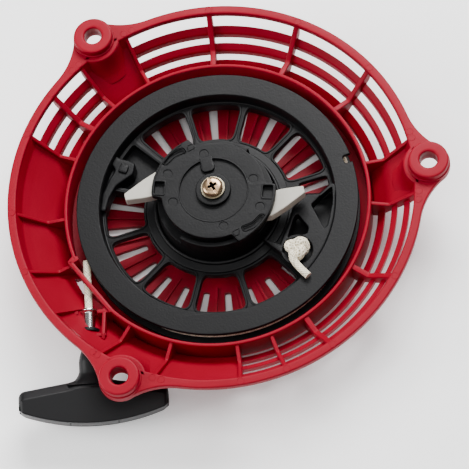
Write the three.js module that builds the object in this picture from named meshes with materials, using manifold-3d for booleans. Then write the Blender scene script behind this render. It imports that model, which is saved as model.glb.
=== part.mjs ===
// Recoil starter for a small engine, seen from its engine side.
//
// Frame: millimetres, +Z along the pulley axis towards the engine, origin at the centre
// of the cover's flat outer face, and the rope is pulled along -Y.
// Every angle is in degrees, counted from +X towards +Y.

import * as THREE from 'three';
import { mergeVertices } from 'three/addons/utils/BufferGeometryUtils.js';
import Module from 'manifold-3d';

const wasm = await Module();
wasm.setup();

// ---- driving dimensions ----

const GAP = 0.35;
const FACETS = 48;

const BOSS_ANGLES = [3, 123, 243];
const BOSS_CIRCLE_R = 98;
const BOSS_R = 9.1;
const BOSS_TOP = 40;
const BOLT_HOLE_R = 4;
const BOLT_CHAMFER = 1;
const EAR_R = 9.6;
const EAR_FILLET_R = 34;
const SKIRT = [[5.5, 31], [10, 24.5], [15.4, 21.5], [13.2, 26], [12, 31], [11.4, 35.4], [5.5, 35.4]];
const SKIRT_HALF_ANGLE = 70;

const FLANGE_OUTER_R = 94.8;
const FLANGE_INNER_R = 90.7;
const FLANGE_TOP = 35.6;
const FLANGE_UNDER = 32;

const WALL_TOP_R = 86;
const WALL_TOP_Z = 25;
const WALL_FOOT_R = 71.4;
const WALL_FOOT_Z = 11;
const WALL_OUTSIDE = [[73.4, 8.6], [88, 22.6], [91.8, 27.2], [93, FLANGE_UNDER]];

const GUARD_INNER_R = 69;
const GUARD_OUTER_R = 70.6;
const GUARD_TOP = 23.2;

const DOME_R = 59;
const DOME_THICKNESS = 2.6;
const LOUVRE_COUNT = 24;
const LOUVRE_START = 2.2;
const LOUVRE_INNER_R = 36.7;
const LOUVRE_OUTER_R = 57.5;
const LOUVRE_INNER_WIDTH = 2.8;
const LOUVRE_OUTER_WIDTH = 4.2;

const RIB_ANGLES = [157, 143, 131, 115, 89.5, 63, 37, 11.5, -5, -31.3, -57.5, -71.7, -84.7,
  251, 234, 200.5, 181.8];
const RIB_THICKNESS = 1.8;
const WIDE_RIB_ANGLES = [143, 89.5, 63, 37, -31.3, -57.5];
const WIDE_RIB_THICKNESS = 2.6;
const RIB_OUTLINE = [[91.4, 35.2], [78.5, 20.6], [70.2, 22.4], [70.2, 9.6], [73.4, 9], [88, 23], [91.6, 27.4],
  [92.6, 33]];
const SLATTED_SECTORS = [[131, 157], [11.5, 115], [-84.7, -5]];
const SLOT_BANDS = [[71.7, 73.1], [76.7, 79.7], [82.6, 85.6], [88.6, 90.7]];

const POST_R = 6.5;
const POST_TOP = 33;
const POST_BORE_R = 3.9;
const POST_BORE_FLOOR = 14;

const PULLEY_R = 64.9;
const PULLEY_TOP = 23.2;
const PULLEY_BOTTOM = 10.6;
const PULLEY_BORE_R = 6.9;
const GROOVE_FLOOR_R = 56.3;
const GROOVE_TOP = 20.9;
const GROOVE_BOTTOM = 12.6;
const RIM_INNER_R = 54.4;
const WEB_TOP = 17.5;
const WEB_BOTTOM = 14.3;
const WINDOW_INNER_R = 34.6;
const WINDOW_OUTER_R = 51.6;
const WINDOW_PITCH = 30;
const WINDOW_CENTRES = [29.3, 59.3, 89.3, 119.3, 179.3, 209.3, 239.3, 269.3, 299.3];
const SPOKE_WIDTH = 4;
const HUB_R = 26.6;
const HUB_FOOT_R = 28;
const HUB_TOP = 33;
const HUB_DECK = 27;
const HUB_DECK_UNDER = 24;
const CUP_INNER_R = 26.7;
const CUP_OUTER_R = 29.6;
const CUP_BOTTOM = 5;

const SPRING_TURNS = 8;
const SPRING_INNER_R = 7.6;
const SPRING_OUTER_R = 26.2;
const SPRING_STRIP = 0.9;
const SPRING_LOW = 6;
const SPRING_HEIGHT = 11.6;

const GUIDE_R = 23.8;
const GUIDE_WING_R = 28.3;
const GUIDE_WINGS = [[112, 181], [292, 361]];
const GUIDE_LOW = 33.45;
const GUIDE_TOP = 36.6;
const GUIDE_DISH_R = 15.6;
const GUIDE_COLLAR_R = 8;
const GUIDE_COLLAR_TOP = 37.6;
const GUIDE_BORE_R = 2.9;

const PAWL_PIVOT = [18.9, -9.2];
const PAWL_LOW = 27.5;
const PAWL_TOP = 33;
const PAWL_EYE_R = 2.75;
const PIVOT_PIN_R = 2.4;

const SCREW_HEAD_R = 4.7;
const SCREW_SHANK_R = 2.5;
const WASHER_R = 5.5;
const WASHER_TOP = 38.95;
const SCREW_TOP = 41.5;

const ROPE_R = 1.75;
const ROPE_LAY_R = 61.6;
const ROPE_Z = 18.4;
const EYELET_X = -60.6;
const EYELET_START_Y = -47;
const EYELET_END_Y = -60;
const BUSH_R = 5;
const KNOT_CENTRE = [35.8, -26.6];
const KNOT_R = 5.8;
const KNOT_Z = 24;
const SEAT_TOP = 20.6;

// The pocket round the rope's way out, and the straight bridge that closes the guard above the rope.
const POCKET = { left: -68.6, right: -52.4, wall: 1.8, low: 11.2, floor: 12.9, top: 23 };
const ROPE_GAP = [199.5, 223.5];
const BRIDGE_START = [-68.2, -24.2];
const BRIDGE_END = [-49.4, -49.8];
const BRIDGE_DEPTH = 2.6;
const BRIDGE_HALF = 0.9;
const JOG = [[-64.6, -21.4], [-63.9, -23.2], [-67.9, -25.2], [-69.3, -23.6], [-66.2, -22.2]];

// The grip hangs from the rope's way out with one end on the bench, so it leans by the droop and the twist.
const HANDLE_X = -59.8;
const HANDLE_START_Y = -65.6;
const HANDLE_DROOP = 13;
const HANDLE_TWIST = 8;
const GRIP_HALF = 33.6;
const GRIP_DEPTH = 7.5;
const STEM_R = 5.9;
const STEM_NOSE = [[0, 0], [4.2, 0], [5.6, -4], [16, -10], [50, -14], [50, -50], [0, -50]];
const BAR_TOP = -18.4;
const BELLY_DROP = 15.8;
const BELLY_R = 90;
const CAVITY = { halfWidth: 11, halfDepth: 5.5, top: -20.5 };
const CAP_TOP = -30.2;
const ROPE_END = -20.6;
const END_KNOT_R = 4.4;

// ---- helpers ----

const rad = THREE.MathUtils.degToRad;

function polar(radius, angle) {
  return [radius * Math.cos(rad(angle)), radius * Math.sin(rad(angle))];
}

// Turns a closed geometry into a solid, with its faces pointing out.
function solid(geometry) {
  geometry.deleteAttribute('normal');
  geometry.deleteAttribute('uv');
  const merged = mergeVertices(geometry, 1e-4);
  const index = [];
  for (let i = 0; i < merged.index.count; i += 3) {
    const [a, b, c] = [0, 1, 2].map((k) => merged.index.getX(i + k));
    if (a !== b && b !== c && c !== a) {
      index.push(a, b, c);
    }
  }
  const vertProperties = new Float32Array(merged.attributes.position.array);
  const p = (i) => new THREE.Vector3().fromArray(vertProperties, 3 * i);
  let volume = 0;
  for (let i = 0; i < index.length; i += 3) {
    volume += p(index[i]).dot(p(index[i + 1]).cross(p(index[i + 2])));
  }
  const triVerts = new Uint32Array(volume < 0 ? index.reverse() : index);
  return new wasm.Manifold(new wasm.Mesh({ numProp: 3, vertProperties, triVerts }));
}

// A solid of revolution about Z from [radius, z] points.
function lathe(points, segments = FACETS, closed = true) {
  const profile = points.map(([r, z]) => new THREE.Vector2(r, z));
  if (closed) {
    profile.push(profile[0].clone());
  }
  const geometry = new THREE.LatheGeometry(profile, segments);
  geometry.rotateX(Math.PI / 2);
  return solid(geometry);
}

function ring(innerR, outerR, low, high, segments = FACETS) {
  return lathe([[innerR, low], [outerR, low], [outerR, high], [innerR, high]], segments);
}

function disc(radius, low, high, segments = 48, at = [0, 0]) {
  const geometry = new THREE.CylinderGeometry(radius, radius, high - low, segments);
  geometry.rotateX(Math.PI / 2);
  geometry.translate(at[0], at[1], (low + high) / 2);
  return solid(geometry);
}

function box(low, high) {
  const size = high.map((v, i) => v - low[i]);
  const geometry = new THREE.BoxGeometry(...size);
  geometry.translate(...low.map((v, i) => v + size[i] / 2));
  return solid(geometry);
}

// A flat outline of [x, y] points pushed up from low to high.
function prism(points, low, high) {
  const shape = new THREE.Shape(points.map(([x, y]) => new THREE.Vector2(x, y)));
  const geometry = new THREE.ExtrudeGeometry(shape, { depth: high - low, bevelEnabled: false });
  geometry.translate(0, 0, low);
  return solid(geometry);
}

// Points of an arc, both ends included.
function arc(radius, from, to, step, at = [0, 0]) {
  const count = Math.max(1, Math.ceil(Math.abs(to - from) / step));
  return Array.from({ length: count + 1 }, (_, i) => {
    const [x, y] = polar(radius, from + ((to - from) * i) / count);
    return [at[0] + x, at[1] + y];
  });
}

// Points of an arc about the pulley axis, with its corners where a turned surface has them.
function turnedArc(radius, from, to) {
  const facet = 360 / FACETS;
  const angles = [from, to];
  for (let i = Math.ceil(Math.min(from, to) / facet); i * facet < Math.max(from, to); i += 1) {
    if (Math.min(Math.abs(i * facet - from), Math.abs(i * facet - to)) > 0.4) {
      angles.push(i * facet);
    }
  }
  angles.sort((a, b) => (to > from ? a - b : b - a));
  return angles.map((angle) => polar(radius, angle));
}

function sector(innerR, outerR, from, to) {
  return [...turnedArc(outerR, from, to), ...turnedArc(innerR, to, from)];
}

// A round bar along a list of [x, y, z] points.
function tube(points, radius, sides = 8, steps = 24) {
  const section = new THREE.Shape(arc(radius, 0, 360 - 360 / sides, 360 / sides)
    .map(([x, y]) => new THREE.Vector2(x, y)));
  const path = new THREE.CatmullRomCurve3(points.map((p) => new THREE.Vector3(...p)));
  const geometry = new THREE.ExtrudeGeometry(section,
    { steps, extrudePath: path, bevelEnabled: false });
  return solid(geometry);
}

// A cylinder along Y.
function rod(radius, x, z, fromY, toY, sides = 24) {
  const geometry = new THREE.CylinderGeometry(radius, radius, fromY - toY, sides);
  geometry.translate(x, (fromY + toY) / 2, z);
  return solid(geometry);
}

function geometryOf(manifold) {
  const { numProp, vertProperties, triVerts } = manifold.getMesh();
  if (numProp !== 3) {
    throw new Error('a solid carries more than positions');
  }
  const geometry = new THREE.BufferGeometry();
  geometry.setAttribute('position', new THREE.BufferAttribute(vertProperties, 3));
  geometry.setIndex(new THREE.BufferAttribute(triVerts, 1));
  geometry.computeVertexNormals();
  return geometry;
}

const FINISHES = {
  crimson: { color: 0xb8142c, roughness: 0.42, metalness: 0 },
  charcoal: { color: 0x3a3a3e, roughness: 0.55, metalness: 0 },
  ivory: { color: 0xdcdad2, roughness: 0.5, metalness: 0 },
  rope: { color: 0xe6dcc4, roughness: 0.9, metalness: 0 },
  steel: { color: 0xb9bcc0, roughness: 0.3, metalness: 1 },
  springSteel: { color: 0x5c6068, roughness: 0.35, metalness: 1 },
  yellowZinc: { color: 0xd9c08a, roughness: 0.3, metalness: 1 },
  brass: { color: 0xc9a24a, roughness: 0.35, metalness: 1 },
  black: { color: 0x1b1b1d, roughness: 0.5, metalness: 0 },
};

const starter = new THREE.Group();

function add(name, manifold, finish, parent = starter) {
  const mesh = new THREE.Mesh(geometryOf(manifold), new THREE.MeshStandardMaterial(FINISHES[finish]));
  mesh.name = name;
  parent.add(mesh);
  return mesh;
}

// ---- housing: flange, slatted wall, pulley guard, louvred dome and post ----

function housing() {
  const shell = lathe([
    [0, 0], [DOME_R, 0], [62.6, 3.4], [65.6, 6.2], ...WALL_OUTSIDE,
    [FLANGE_OUTER_R, FLANGE_UNDER], [FLANGE_OUTER_R, FLANGE_TOP],
    [FLANGE_INNER_R, FLANGE_TOP], [89.2, 28.4], [WALL_TOP_R, WALL_TOP_Z],
    [WALL_FOOT_R, WALL_FOOT_Z], [GUARD_OUTER_R, GUARD_TOP], [GUARD_INNER_R, GUARD_TOP],
    [GUARD_INNER_R, 9.3], [64.2, 8.2], [60.4, DOME_THICKNESS], [0, DOME_THICKNESS],
  ], FACETS, false);

  const cuts = [];
  for (const [from, to] of SLATTED_SECTORS) {
    for (const [inner, outer] of SLOT_BANDS) {
      cuts.push(prism(sector(inner, outer, from, to), 5, FLANGE_TOP + 1));
    }
  }
  for (let i = 0; i < LOUVRE_COUNT; i += 1) {
    const angle = LOUVRE_START + (360 / LOUVRE_COUNT) * i;
    const outline = [[LOUVRE_INNER_R, -LOUVRE_INNER_WIDTH / 2], [LOUVRE_OUTER_R, -LOUVRE_OUTER_WIDTH / 2],
      [LOUVRE_OUTER_R, LOUVRE_OUTER_WIDTH / 2], [LOUVRE_INNER_R, LOUVRE_INNER_WIDTH / 2]];
    cuts.push(prism(outline, -1, DOME_THICKNESS + 1).rotate([0, 0, angle]));
  }
  // The guard is open where the rope leaves, below a straight bridge.
  cuts.push(prism(sector(GUARD_INNER_R - 2, GUARD_OUTER_R + 2, ...ROPE_GAP), 10.2, GUARD_TOP + 1));
  let body = shell.subtract(wasm.Manifold.union(cuts));

  const adds = [];
  for (const angle of RIB_ANGLES) {
    const half = (WIDE_RIB_ANGLES.includes(angle) ? WIDE_RIB_THICKNESS : RIB_THICKNESS) / 2;
    adds.push(prism(RIB_OUTLINE, -half, half).rotate([90, 0, 0]).rotate([0, 0, angle]));
  }
  for (const angle of BOSS_ANGLES) {
    adds.push(earAt(angle));
  }
  adds.push(disc(POST_R, 1, POST_TOP, 40));
  adds.push(lathe([[0, 1], [13, 1], [8, 4.6], [0, 4.6]], 40, false));
  adds.push(ropePocket());
  body = body.add(wasm.Manifold.union(adds));

  const bores = BOSS_ANGLES.map((angle) => disc(BOLT_HOLE_R, 10, BOSS_TOP + 1, 24,
    polar(BOSS_CIRCLE_R, angle)));
  for (const angle of BOSS_ANGLES) {
    const [x, y] = polar(BOSS_CIRCLE_R, angle);
    const chamfer = lathe([[0, BOSS_TOP - BOLT_CHAMFER], [BOLT_HOLE_R, BOSS_TOP - BOLT_CHAMFER],
      [BOLT_HOLE_R + 2 * BOLT_CHAMFER, BOSS_TOP + BOLT_CHAMFER], [0, BOSS_TOP + BOLT_CHAMFER]], 24, false);
    bores.push(chamfer.translate([x, y, 0]));
  }
  bores.push(disc(POST_BORE_R, POST_BORE_FLOOR, POST_TOP + 1, 32));
  bores.push(ropePocketHollow());
  return body.subtract(wasm.Manifold.union(bores));
}

// One mounting ear: a nose round the boss, and on each side a fillet that touches the nose and the flange.
// Inside the flange a skirt round the boss runs down into the wall.
function earAt(angle) {
  const reach = FLANGE_OUTER_R + EAR_FILLET_R;
  const span = EAR_R + EAR_FILLET_R;
  const cosine = (reach ** 2 + BOSS_CIRCLE_R ** 2 - span ** 2) / (2 * reach * BOSS_CIRCLE_R);
  const filletAt = THREE.MathUtils.radToDeg(Math.acos(cosine));
  const [x, y] = polar(reach, filletAt);
  const touch = THREE.MathUtils.radToDeg(Math.atan2(y, x - BOSS_CIRCLE_R));
  const nose = arc(EAR_R, 12 - touch, touch - 12, 12, [BOSS_CIRCLE_R, 0]);
  const upper = arc(EAR_FILLET_R, touch + 180, filletAt + 180, 7, [x, y]);
  const lower = upper.map(([u, v]) => [u, -v]).reverse();
  const inside = arc(FLANGE_INNER_R + 0.6, filletAt - 1, 1 - filletAt, 4);
  const plate = prism([...nose, ...upper, ...inside, ...lower], FLANGE_UNDER, FLANGE_TOP);
  const boss = disc(BOSS_R, FLANGE_UNDER, BOSS_TOP, 32, [BOSS_CIRCLE_R, 0]);

  const skirtSide = arc(BOSS_CIRCLE_R, 180 - SKIRT_HALF_ANGLE, 180 + SKIRT_HALF_ANGLE, 35,
    [BOSS_CIRCLE_R, 0]);
  const wedge = prism([[BOSS_CIRCLE_R, 0], ...skirtSide], 0, BOSS_TOP);
  const insideWall = lathe([[0, WALL_FOOT_Z], [WALL_FOOT_R, WALL_FOOT_Z], ...WALL_OUTSIDE, [93, FLANGE_TOP],
    [0, FLANGE_TOP]], FACETS, false);
  const skirt = lathe(SKIRT, 32).translate([BOSS_CIRCLE_R, 0, 0]).intersect(wedge).intersect(insideWall);
  return plate.add(boss).add(skirt).rotate([0, 0, angle]);
}

function ropePocket() {
  const outer = box([POCKET.left, EYELET_END_Y - 1, POCKET.low],
    [POCKET.right, EYELET_START_Y - 0.7, POCKET.top]);
  const run = new THREE.Vector2(...BRIDGE_END).sub(new THREE.Vector2(...BRIDGE_START));
  const bridge = box([0, -BRIDGE_HALF, GUARD_TOP - BRIDGE_DEPTH], [run.length(), BRIDGE_HALF, GUARD_TOP])
    .rotate([0, 0, THREE.MathUtils.radToDeg(run.angle())])
    .translate([...BRIDGE_START, 0]);
  return outer.add(bridge).add(prism(JOG, 9.8, GUARD_TOP));
}

function ropePocketHollow() {
  const sleeveRoom = BUSH_R - 0.7;
  const bushRoom = BUSH_R - 1.05;
  const room = box([POCKET.left + POCKET.wall, EYELET_END_Y + 1.6, POCKET.floor],
    [POCKET.right - POCKET.wall, EYELET_START_Y - 2.6, FLANGE_TOP]);
  const notch = box([EYELET_X - sleeveRoom, EYELET_START_Y - 4, ROPE_Z],
    [EYELET_X + sleeveRoom, EYELET_START_Y + 1, POCKET.top + 1]);
  const sleeve = rod(sleeveRoom, EYELET_X, ROPE_Z, EYELET_START_Y + 3, EYELET_START_Y - 4, 20);
  const wayOut = rod(bushRoom, EYELET_X, ROPE_Z, EYELET_START_Y - 3, EYELET_END_Y - 6, 20);
  return room.add(notch).add(sleeve).add(wayOut);
}

add('housing', housing(), 'crimson');

// ---- post insert, screw and washer ----

add('post_insert', ring(SCREW_SHANK_R + 0.3, POST_BORE_R - 0.3, POST_BORE_FLOOR + GAP, POST_TOP - 0.2, 32),
  'brass');

const washer = ring(SCREW_SHANK_R + GAP, WASHER_R, GUIDE_COLLAR_TOP + GAP, WASHER_TOP, 40);
add('centre_washer', washer, 'steel');

const screwHeadLow = WASHER_TOP + GAP;
const screwHead = lathe([[0, screwHeadLow], [SCREW_HEAD_R, screwHeadLow], [SCREW_HEAD_R, SCREW_TOP - 0.9],
  [SCREW_HEAD_R - 0.5, SCREW_TOP - 0.3], [SCREW_HEAD_R - 1.4, SCREW_TOP], [0, SCREW_TOP]], 24, false);
const crossRecess = box([-0.5, -2.3, SCREW_TOP - 1.4], [0.5, 2.3, SCREW_TOP + 1])
  .add(box([-2.3, -0.5, SCREW_TOP - 1.4], [2.3, 0.5, SCREW_TOP + 1]));
const screw = screwHead.subtract(crossRecess.rotate([0, 0, 25]))
  .add(disc(SCREW_SHANK_R, POST_BORE_FLOOR + 2, screwHeadLow + 0.2, 32));
add('centre_screw', screw, 'yellowZinc');

// ---- recoil spring: a flat strip wound between the post and the pulley's cup ----

function spiralOutline() {
  const inner = [];
  const outer = [];
  const steps = SPRING_TURNS * 18;
  for (let i = 0; i <= steps; i += 1) {
    const t = i / steps;
    const angle = 360 * SPRING_TURNS * t;
    const radius = SPRING_INNER_R + (SPRING_OUTER_R - SPRING_INNER_R - SPRING_STRIP) * t;
    inner.push(polar(radius, angle));
    outer.push(polar(radius + SPRING_STRIP, angle));
  }
  return [...outer, ...inner.reverse()];
}
add('recoil_spring', prism(spiralOutline(), SPRING_LOW, SPRING_LOW + SPRING_HEIGHT), 'springSteel');

// ---- pulley: rope groove, windowed web, pawl hub and spring cup ----

function window(centre) {
  const half = WINDOW_PITCH / 2;
  const inset = (radius) => THREE.MathUtils.radToDeg(SPOKE_WIDTH / 2 / radius);
  const corner = 2.4;
  const side = (radius, sign) => polar(radius, centre + sign * (half - inset(radius)));
  const softSide = (radius, sign) => polar(radius, centre + sign * (half - inset(radius)
    - THREE.MathUtils.radToDeg(corner / radius)));
  const outline = [softSide(WINDOW_OUTER_R, -1), softSide(WINDOW_OUTER_R, 1),
    side(WINDOW_OUTER_R - corner, 1), side(WINDOW_INNER_R + corner, 1),
    softSide(WINDOW_INNER_R, 1), softSide(WINDOW_INNER_R, -1),
    side(WINDOW_INNER_R + corner, -1), side(WINDOW_OUTER_R - corner, -1)];
  outline.splice(1, 0, ...turnedArc(WINDOW_OUTER_R, centre - half + 6, centre + half - 6));
  return prism(outline, WEB_BOTTOM - 1, WEB_TOP + 1);
}

function pulley() {
  const rim = lathe([[GROOVE_FLOOR_R, GROOVE_BOTTOM], [PULLEY_R, GROOVE_BOTTOM - 0.6],
    [PULLEY_R, PULLEY_BOTTOM], [52.6, PULLEY_BOTTOM], [52.6, WEB_TOP], [RIM_INNER_R - 0.6, WEB_TOP],
    [RIM_INNER_R, PULLEY_TOP], [PULLEY_R - 0.4, PULLEY_TOP], [PULLEY_R, PULLEY_TOP - 0.4],
    [PULLEY_R, GROOVE_TOP + 0.6], [GROOVE_FLOOR_R, GROOVE_TOP]]);
  const springRoom = SPRING_LOW + SPRING_HEIGHT + GAP;
  const web = ring(CUP_INNER_R, 53, WEB_BOTTOM, WEB_TOP);
  const hub = lathe([[PULLEY_BORE_R, HUB_DECK_UNDER], [HUB_R - 2.6, HUB_DECK_UNDER],
    [HUB_R - 2.6, springRoom + 1], [CUP_INNER_R, springRoom], [CUP_INNER_R, CUP_BOTTOM],
    [CUP_OUTER_R, CUP_BOTTOM], [CUP_OUTER_R, WEB_BOTTOM + 0.5], [HUB_FOOT_R, WEB_TOP], [HUB_R, HUB_TOP],
    [HUB_R - 2.2, HUB_TOP], [HUB_R - 2.2, HUB_DECK], [PULLEY_BORE_R, HUB_DECK]]);
  const collar = ring(PULLEY_BORE_R, 8.6, springRoom + 0.5, HUB_TOP - 0.4, 40);
  const adds = [web, hub, collar];
  // The plate between the rope knot's seat and the rim, and the filled sector across from it.
  adds.push(prism(sector(27.4, 54, 312, 346), WEB_BOTTOM, SEAT_TOP));
  adds.push(prism(sector(27.4, 54, 134, 165), WEB_BOTTOM - 2, WEB_TOP + 0.5));
  for (let i = 0; i < 6; i += 1) {
    adds.push(box([8, -1, springRoom + 0.5], [HUB_R - 2, 1, HUB_DECK_UNDER + 0.5])
      .rotate([0, 0, 60 * i + 15]));
  }
  const pins = [0, 180].map((turn) => disc(PIVOT_PIN_R, HUB_DECK - 0.5, HUB_TOP - 0.2, 24, PAWL_PIVOT)
    .rotate([0, 0, turn]));
  let body = rim.add(wasm.Manifold.union([...adds, ...pins]));

  const cuts = WINDOW_CENTRES.map(window);
  cuts.push(prism(sector(WINDOW_INNER_R + 3, WINDOW_OUTER_R, 0, 12.5), WEB_BOTTOM - 1, WEB_TOP + 1));
  // Pockets of the filled sectors, the knot's seat and its way into the groove.
  cuts.push(prism(sector(36, 51.5, 137, 150), WEB_TOP - 3.5, WEB_TOP + 3));
  cuts.push(prism(sector(37, 52, 331, 343), WEB_TOP - 1.8, 22));
  cuts.push(disc(KNOT_R + 0.8, SEAT_TOP - 1.2, SEAT_TOP + 1.4, 32, KNOT_CENTRE));
  cuts.push(prism(sector(45, 57.5, 321.8, 325), 16.6, 20.3));
  // Balance notch in the rim.
  cuts.push(prism(sector(61.6, 66, 13.6, 16.9), GROOVE_TOP - 1, PULLEY_TOP + 1));
  // Gates in the hub's wall where the pawls swing out.
  for (const turn of [0, 180]) {
    cuts.push(prism(sector(HUB_R - 4, HUB_R + 3, -45, 52), HUB_DECK, HUB_TOP + 1).rotate([0, 0, turn]));
  }
  body = body.subtract(wasm.Manifold.union(cuts));
  return body;
}
add('pulley', pulley(), 'charcoal');

// ---- pawls, their springs and the friction spring ----

function pawl() {
  const outline = [[40.6, 0.2], [41.3, -3.2], [31.6, -10], [25.4, -13.6],
    ...arc(5.7, -52, -232, 22, PAWL_PIVOT), [22, -3.2], [28.2, -0.6]];
  const eye = disc(PAWL_EYE_R, PAWL_LOW - 1, PAWL_TOP + 1, 24, PAWL_PIVOT);
  const springSeat = disc(4.6, PAWL_LOW - 1, PAWL_LOW + 2.2, 24, PAWL_PIVOT);
  return prism(outline, PAWL_LOW, PAWL_TOP).subtract(eye).subtract(springSeat);
}

function coilSpring(radius, wire, turns, low, high) {
  const steps = Math.round(turns * 12);
  const points = Array.from({ length: steps + 1 }, (_, i) => {
    const t = i / steps;
    return [...polar(radius, 360 * turns * t), low + wire + (high - low - 2 * wire) * t];
  });
  return tube(points, wire, 6, steps);
}

for (const [suffix, turn] of [['right', 0], ['left', 180]]) {
  add(`pawl_${suffix}`, pawl().rotate([0, 0, turn]), 'ivory');
  const spring = coilSpring(3.6, 0.3, 2, HUB_DECK + 0.35, PAWL_LOW + 1.9);
  add(`pawl_spring_${suffix}`, spring.translate([...PAWL_PIVOT, 0]).rotate([0, 0, turn]), 'springSteel');
}
add('friction_spring', coilSpring(10, 0.6, 2.5, HUB_DECK + 0.4, HUB_TOP), 'springSteel');

// ---- ratchet guide: the dished disc that throws the pawls ----

function ratchetGuide() {
  const low = GUIDE_LOW;
  const plate = disc(GUIDE_R, low, GUIDE_TOP, FACETS);
  const wings = GUIDE_WINGS.map(([from, to]) => prism(sector(14, GUIDE_WING_R, from, to), low, GUIDE_TOP));
  const collar = disc(GUIDE_COLLAR_R, low, GUIDE_COLLAR_TOP, 40);
  const dish = ring(GUIDE_COLLAR_R, GUIDE_DISH_R, GUIDE_TOP - 1, GUIDE_TOP + 2, 60);
  const cuts = [dish, disc(GUIDE_BORE_R, low - 1, GUIDE_COLLAR_TOP + 1, 32)];
  for (const turn of [0, 180]) {
    cuts.push(box([22.3, -3.2, low - 1], [27.2, 3.2, GUIDE_TOP + 1]).rotate([0, 0, turn - 7]));
    cuts.push(prism([...arc(27.2, -42, -18, 6), polar(24, -18), polar(22.6, -30), polar(24, -44)],
      GUIDE_TOP - 1, GUIDE_TOP + 1).rotate([0, 0, turn]));
  }
  const tongue = box([10.6, -2.3, GUIDE_TOP - 1.2], [16.5, 2.3, GUIDE_TOP]).rotate([0, 0, 100.5]);
  return plate.add(wasm.Manifold.union([...wings, collar]))
    .subtract(wasm.Manifold.union(cuts)).add(tongue);
}
add('ratchet_guide', ratchetGuide(), 'charcoal');

// ---- rope: the wound turns, the knot in the pulley and the run to the handle ----

add('rope_coil', ring(GROOVE_FLOOR_R + GAP, ROPE_LAY_R + ROPE_R, GROOVE_BOTTOM + GAP, GROOVE_TOP - GAP),
  'rope');

function ropeKnot() {
  const [x, y] = KNOT_CENTRE;
  const lump = new THREE.SphereGeometry(KNOT_R, 16, 10);
  lump.scale(1, 1, 0.72);
  lump.translate(x, y, KNOT_Z);
  const tail = tube([[x - 2, y - 1, 25], [x - 2.2, y - 5, 26.4], [x + 0.6, y - 9.5, 25.9],
    [x + 4.6, y - 14.6, 25.4]], ROPE_R, 8, 12);
  return solid(lump).add(tail);
}
add('rope_knot', ropeKnot(), 'rope');

// A point inside the grip, on its axis, at that distance below its top.
function gripAxis(depth) {
  return [HANDLE_X, HANDLE_START_Y - depth * Math.cos(rad(HANDLE_DROOP)),
    ROPE_Z - depth * Math.sin(rad(HANDLE_DROOP))];
}

const runStart = -Math.sqrt((ROPE_LAY_R + ROPE_R + GAP) ** 2 - (ROPE_LAY_R - ROPE_R) ** 2) - 0.5;
add('rope_run', tube([[-61.2, runStart, ROPE_Z], [-60.9, -34, ROPE_Z], [EYELET_X, EYELET_START_Y, ROPE_Z],
  [EYELET_X, EYELET_END_Y + 0.5, ROPE_Z], gripAxis(0.5), gripAxis(6), gripAxis(13), gripAxis(-ROPE_END)],
ROPE_R, 8, 36), 'rope');

// ---- rope exit: steel eyelet in its bush ----

function alongRope(points, segments = 20) {
  const profile = points.map(([r, y]) => new THREE.Vector2(r, y));
  profile.push(profile[0].clone());
  const geometry = new THREE.LatheGeometry(profile, segments);
  geometry.translate(EYELET_X, 0, ROPE_Z);
  return solid(geometry);
}
const eyeBoreR = ROPE_R + 0.35;
add('rope_eyelet', alongRope([[eyeBoreR + 0.5, EYELET_START_Y], [3.9, EYELET_START_Y],
  [3.9, EYELET_START_Y - 0.9],
  [3, EYELET_START_Y - 1.6], [2.9, EYELET_END_Y - 2], [eyeBoreR, EYELET_END_Y - 2],
  [eyeBoreR, EYELET_START_Y - 0.6]]), 'steel');
add('eyelet_bush', alongRope([[3.2, EYELET_END_Y + 3.4], [BUSH_R, EYELET_END_Y + 3.4],
  [BUSH_R, EYELET_END_Y + 1.9],
  [3.6, EYELET_END_Y + 1.9], [3.6, EYELET_END_Y - 1.4], [3.2, EYELET_END_Y - 1.4]]), 'black');

// ---- handle: T grip, its end cap and the knot that holds it on the rope ----

const handle = new THREE.Group();
handle.position.set(...gripAxis(0));
handle.rotation.set(rad(HANDLE_DROOP), rad(HANDLE_TWIST), 0);
starter.add(handle);

// The rounded underside of the bar, between two distances from its middle.
function belly(from, to) {
  const angle = (x) => 270 + THREE.MathUtils.radToDeg(Math.asin(x / BELLY_R));
  return arc(BELLY_R, angle(from), angle(to), 6, [0, BAR_TOP - BELLY_DROP + BELLY_R]);
}

function handleGrip() {
  const half = [[STEM_R, 0], [STEM_R, BAR_TOP + 8.5], [STEM_R + 1.6, BAR_TOP + 5],
    [STEM_R + 5.6, BAR_TOP + 3.2], [GRIP_HALF - 1.7, BAR_TOP + 0.3], [GRIP_HALF, BAR_TOP - 0.8]];
  const otherHalf = half.map(([x, y]) => [-x, y]).reverse();
  const bar = prism([...half, ...belly(GRIP_HALF, -GRIP_HALF), ...otherHalf], -GRIP_DEPTH, GRIP_DEPTH);
  const sideCut = [[2, GRIP_DEPTH + 1], [2, STEM_R], [BAR_TOP + 7, STEM_R], [BAR_TOP, GRIP_DEPTH],
    [BAR_TOP, GRIP_DEPTH + 1]];
  const slimmer = prism(sideCut, -GRIP_HALF - 1, GRIP_HALF + 1).rotate([90, 0, 90]);
  const cavity = box([-CAVITY.halfWidth, BAR_TOP - BELLY_DROP - 1, -CAVITY.halfDepth],
    [CAVITY.halfWidth, CAVITY.top, CAVITY.halfDepth]);
  const nose = solid(new THREE.LatheGeometry(STEM_NOSE.map(([r, y]) => new THREE.Vector2(r, y)), 24));
  return bar.subtract(slimmer).subtract(slimmer.mirror([0, 0, 1])).intersect(nose).subtract(cavity)
    .subtract(rod(ROPE_R + 0.4, 0, 0, 2, CAVITY.top - 2));
}
add('handle_grip', handleGrip(), 'charcoal', handle);

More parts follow.
